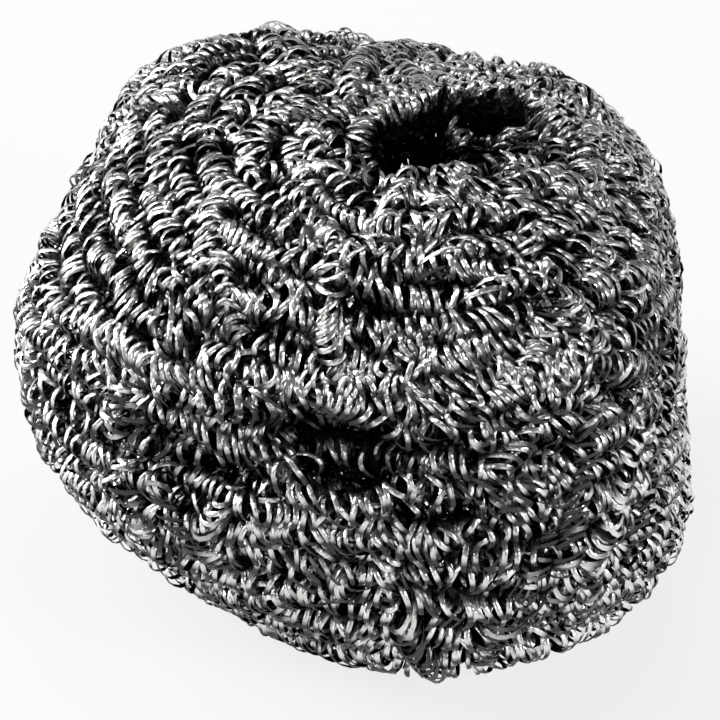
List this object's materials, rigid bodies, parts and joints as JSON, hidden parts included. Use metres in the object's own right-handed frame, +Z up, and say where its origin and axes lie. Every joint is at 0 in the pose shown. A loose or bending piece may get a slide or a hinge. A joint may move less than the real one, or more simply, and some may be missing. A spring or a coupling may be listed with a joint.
{
  "type": "metal scourer",
  "caption": "Springy ball of curled steel ribbon, the curled strand wound row on row round a small eye, for scrubbing pans.",
  "frame": {"origin": "bottom centre of the ball's bounding box, on the flat spot it rests on", "axes": "+Z up out of the flat spot and towards the eye of the winding, -Y to the front with the fold, +X right"},
  "size_m": [0.082, 0.0822, 0.0622],
  "materials": {
    "steel": "bright drawn stainless ribbon, curled"
  },
  "bodies": {
    "root": {"scourer": "steel"}
  },
  "joints": []
}
